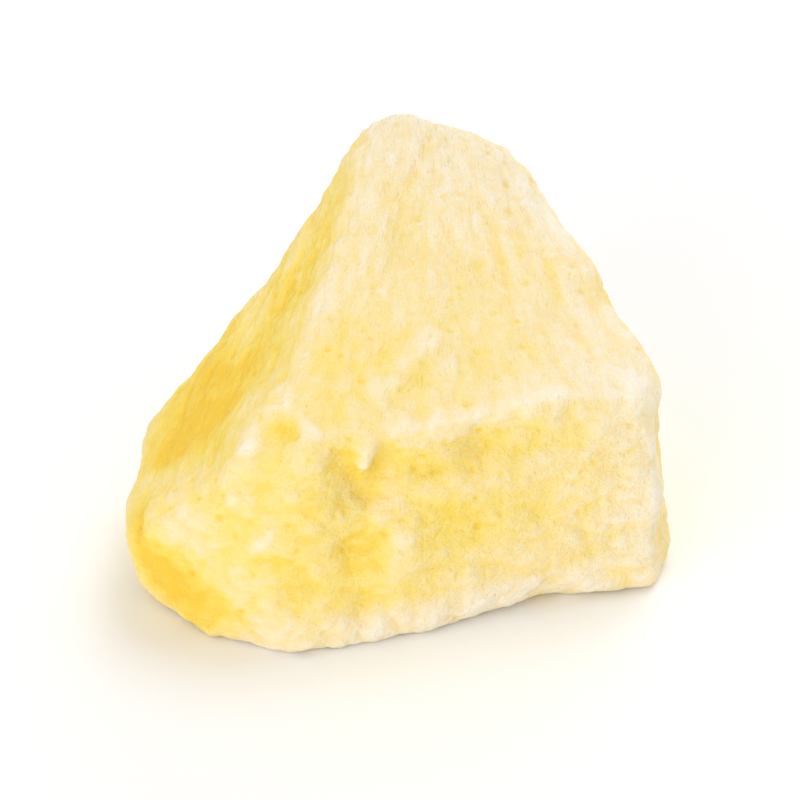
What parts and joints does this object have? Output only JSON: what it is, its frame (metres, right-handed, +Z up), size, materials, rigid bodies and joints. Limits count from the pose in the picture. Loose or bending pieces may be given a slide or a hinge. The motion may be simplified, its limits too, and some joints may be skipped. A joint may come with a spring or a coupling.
{
  "type": "freeze-dried pineapple chunk",
  "caption": "Freeze-dried pineapple chunk: a thick, fan-shaped wedge cut from a peeled ring, with a pale slice face on top and a flat underside it stands on.",
  "frame": {"origin": "middle of the bounding box's underside, on the surface that the chunk stands on", "axes": "+X along the trimmed peel side to the right, +Y from the peel side back to the core end, +Z up from the underside"},
  "size_m": [0.027, 0.0264, 0.017],
  "materials": {
    "flesh": "dry, chalky and finely porous"
  },
  "bodies": {
    "root": {"pineapple_chunk": "flesh"}
  },
  "joints": []
}
